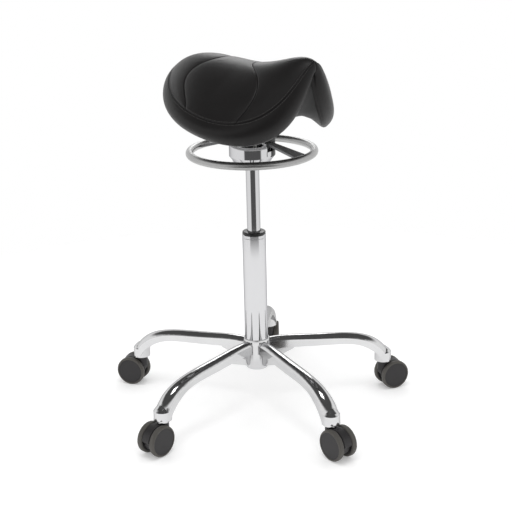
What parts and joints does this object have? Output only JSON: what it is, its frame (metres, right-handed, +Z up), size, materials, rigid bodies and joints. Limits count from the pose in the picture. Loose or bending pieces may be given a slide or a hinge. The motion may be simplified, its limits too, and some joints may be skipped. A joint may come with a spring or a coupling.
{
  "type": "saddle stool",
  "caption": "Height-adjustable saddle stool: padded leather saddle on a gas column with a ring release lever, star base and swivelling twin-wheel castors.",
  "frame": {"origin": "on the swivel axis at floor level", "axes": "+Z up, the saddle's narrow front points along -Y, +X is the sitter's left"},
  "size_m": [0.6491, 0.6707, 0.7745],
  "materials": {
    "polished_casting": "polished cast aluminium",
    "chrome": "bright chrome plate",
    "zinc_steel": "zinc plated steel",
    "black_plastic": "moulded, fine texture",
    "black_rubber": "matte",
    "black_steel": "powder coat",
    "shell_plastic": "moulded shell",
    "seat_foam": "moulded foam",
    "black_leather": "soft grained leather, double stitched",
    "dark_casting": "dark grey satin",
    "satin_steel": "satin ground tube",
    "castor_plastic": "charcoal nylon",
    "castor_tread": "soft tread"
  },
  "bodies": {
    "base": {"star_base": "polished_casting", "outer_tube": "chrome", "tube_floor": "zinc_steel", "thrust_bearing": "zinc_steel", "guide_bushing": "black_plastic"},
    "rod": {"piston_rod": "zinc_steel", "rubber_buffer": "black_rubber", "rod_clip": "zinc_steel", "piston": "black_plastic"},
    "seat": {"gas_cylinder": "chrome", "rod_gland": "black_plastic", "housing_cup": "chrome", "lever_pivot_pin": "zinc_steel", "standoff_posts": "zinc_steel", "seat_plate": "black_steel", "seat_bolts": "zinc_steel", "saddle_shell": "shell_plastic", "foam_cushion": "seat_foam", "leather_cover": "black_leather"},
    "lever": {"lever_hub": "dark_casting", "front_spoke": "dark_casting", "rear_spoke": "dark_casting", "release_ring": "satin_steel", "stop_block": "black_rubber"},
    "valve": {"valve_pin": "zinc_steel"},
    "castor_1": {"castor_1_stem": "zinc_steel", "castor_1_hood": "castor_plastic", "castor_1_axle": "zinc_steel"},
    "castor_1_left": {"castor_1_left_wheel": "castor_plastic", "castor_1_left_tread": "castor_tread"},
    "castor_1_right": {"castor_1_right_wheel": "castor_plastic", "castor_1_right_tread": "castor_tread"},
    "castor_2": {"castor_2_stem": "zinc_steel", "castor_2_hood": "castor_plastic", "castor_2_axle": "zinc_steel"},
    "castor_2_left": {"castor_2_left_wheel": "castor_plastic", "castor_2_left_tread": "castor_tread"},
    "castor_2_right": {"castor_2_right_wheel": "castor_plastic", "castor_2_right_tread": "castor_tread"},
    "castor_3": {"castor_3_stem": "zinc_steel", "castor_3_hood": "castor_plastic", "castor_3_axle": "zinc_steel"},
    "castor_3_left": {"castor_3_left_wheel": "castor_plastic", "castor_3_left_tread": "castor_tread"},
    "castor_3_right": {"castor_3_right_wheel": "castor_plastic", "castor_3_right_tread": "castor_tread"},
    "castor_4": {"castor_4_stem": "zinc_steel", "castor_4_hood": "castor_plastic", "castor_4_axle": "zinc_steel"},
    "castor_4_left": {"castor_4_left_wheel": "castor_plastic", "castor_4_left_tread": "castor_tread"},
    "castor_4_right": {"castor_4_right_wheel": "castor_plastic", "castor_4_right_tread": "castor_tread"},
    "castor_5": {"castor_5_stem": "zinc_steel", "castor_5_hood": "castor_plastic", "castor_5_axle": "zinc_steel"},
    "castor_5_left": {"castor_5_left_wheel": "castor_plastic", "castor_5_left_tread": "castor_tread"},
    "castor_5_right": {"castor_5_right_wheel": "castor_plastic", "castor_5_right_tread": "castor_tread"}
  },
  "joints": [
    {"name": "rod_swivel", "type": "hinge", "parent": "base", "child": "rod", "pos_m": [0, 0, 0.1], "axis": [0, 0, 1], "continuous": true},
    {"name": "height_slide", "type": "slide", "parent": "rod", "child": "seat", "axis": [0, 0, 1], "range_m": [-0.138, 0.055]},
    {"name": "lever_tilt", "type": "hinge", "parent": "seat", "child": "lever", "pos_m": [-0.00625, 0.03545, 0.577], "axis": [0.9848, 0.1736, 0], "range_deg": [0, 4], "stiffness_Nm_per_rad": 5, "springref_deg": -17.19},
    {"name": "valve_press", "type": "slide", "parent": "seat", "child": "valve", "axis": [0, 0, -1], "range_m": [0, 0.0026]},
    {"name": "castor_1_swivel", "type": "hinge", "parent": "base", "child": "castor_1", "pos_m": [0.22696, 0.17892, 0.0673], "axis": [0, 0, 1], "continuous": true},
    {"name": "castor_1_left_roll", "type": "hinge", "parent": "castor_1", "child": "castor_1_left", "pos_m": [0.24377, 0.19372, 0.0325], "axis": [-0.6607, 0.7507, 0], "continuous": true},
    {"name": "castor_1_right_roll", "type": "hinge", "parent": "castor_1", "child": "castor_1_right", "pos_m": [0.24377, 0.19372, 0.0325], "axis": [-0.6607, 0.7507, 0], "continuous": true},
    {"name": "castor_2_swivel", "type": "hinge", "parent": "base", "child": "castor_2", "pos_m": [-0.10003, 0.27114, 0.0673], "axis": [0, 0, 1], "continuous": true},
    {"name": "castor_2_left_roll", "type": "hinge", "parent": "castor_2", "child": "castor_2_left", "pos_m": [-0.10955, 0.29141, 0.0325], "axis": [-0.9052, -0.425, 0], "continuous": true},
    {"name": "castor_2_right_roll", "type": "hinge", "parent": "castor_2", "child": "castor_2_right", "pos_m": [-0.10955, 0.29141, 0.0325], "axis": [-0.9052, -0.425, 0], "continuous": true},
    {"name": "castor_3_swivel", "type": "hinge", "parent": "base", "child": "castor_3", "pos_m": [-0.28878, -0.01135, 0.0673], "axis": [0, 0, 1], "continuous": true},
    {"name": "castor_3_left_roll", "type": "hinge", "parent": "castor_3", "child": "castor_3_left", "pos_m": [-0.31112, -0.01293, 0.0325], "axis": [0.0706, -0.9975, 0], "continuous": true},
    {"name": "castor_3_right_roll", "type": "hinge", "parent": "castor_3", "child": "castor_3_right", "pos_m": [-0.31112, -0.01293, 0.0325], "axis": [0.0706, -0.9975, 0], "continuous": true},
    {"name": "castor_4_swivel", "type": "hinge", "parent": "base", "child": "castor_4", "pos_m": [-0.07845, -0.27815, 0.0673], "axis": [0, 0, 1], "continuous": true},
    {"name": "castor_4_left_roll", "type": "hinge", "parent": "castor_4", "child": "castor_4_left", "pos_m": [-0.08185, -0.30029, 0.0325], "axis": [0.9884, -0.1521, 0], "continuous": true},
    {"name": "castor_4_right_roll", "type": "hinge", "parent": "castor_4", "child": "castor_4_right", "pos_m": [-0.08185, -0.30029, 0.0325], "axis": [0.9884, -0.1521, 0], "continuous": true},
    {"name": "castor_5_swivel", "type": "hinge", "parent": "base", "child": "castor_5", "pos_m": [0.2403, -0.16056, 0.0673], "axis": [0, 0, 1], "continuous": true},
    {"name": "castor_5_left_roll", "type": "hinge", "parent": "castor_5", "child": "castor_5_left", "pos_m": [0.26094, -0.16926, 0.0325], "axis": [0.3883, 0.9215, 0], "continuous": true},
    {"name": "castor_5_right_roll", "type": "hinge", "parent": "castor_5", "child": "castor_5_right", "pos_m": [0.26094, -0.16926, 0.0325], "axis": [0.3883, 0.9215, 0], "continuous": true}
  ],
  "couplings": [
    {"joint": "valve_press", "follows": "lever_tilt", "m_per_rad": 0.036}
  ]
}
